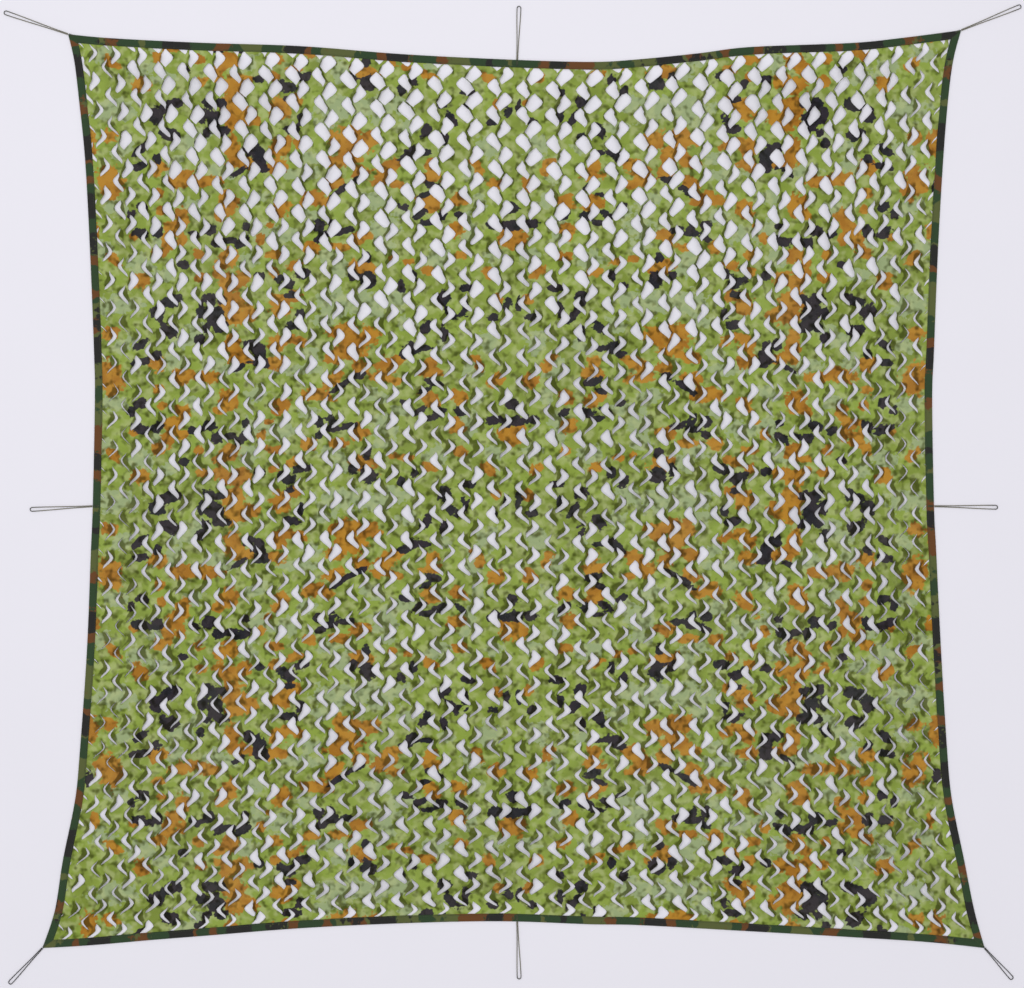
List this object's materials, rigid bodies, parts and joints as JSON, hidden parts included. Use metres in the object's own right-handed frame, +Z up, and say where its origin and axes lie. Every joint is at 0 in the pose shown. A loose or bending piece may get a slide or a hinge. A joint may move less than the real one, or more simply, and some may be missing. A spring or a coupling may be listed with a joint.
{
  "type": "camouflage net",
  "caption": "Square camouflage net of slit-cut woodland print cloth, edged with folded tape, laid flat with its cord tie loops pulled straight.",
  "frame": {"origin": "middle of the laid net, on the surface it lies on", "axes": "+X towards the net's right edge, +Y towards its upper edge, +Z up off the surface, with the printed face up"},
  "size_m": [3.3384, 3.2145, 0.0075],
  "materials": {
    "netting_cloth": "matt printed oxford cloth",
    "binding_tape": "matt printed ribbed tape",
    "cord_light": "twisted grey cord",
    "cord_dark": "twisted dark olive cord"
  },
  "bodies": {
    "root": {"net_panel": "netting_cloth", "binding_top": "binding_tape", "binding_right": "binding_tape", "binding_bottom": "binding_tape", "binding_left": "binding_tape", "tie_top_left": "cord_light", "tie_top": "cord_light", "tie_top_right": "cord_light", "tie_right": "cord_light", "tie_bottom_right": "cord_dark", "tie_bottom": "cord_light", "tie_bottom_left": "cord_dark", "tie_left": "cord_light"}
  },
  "joints": []
}
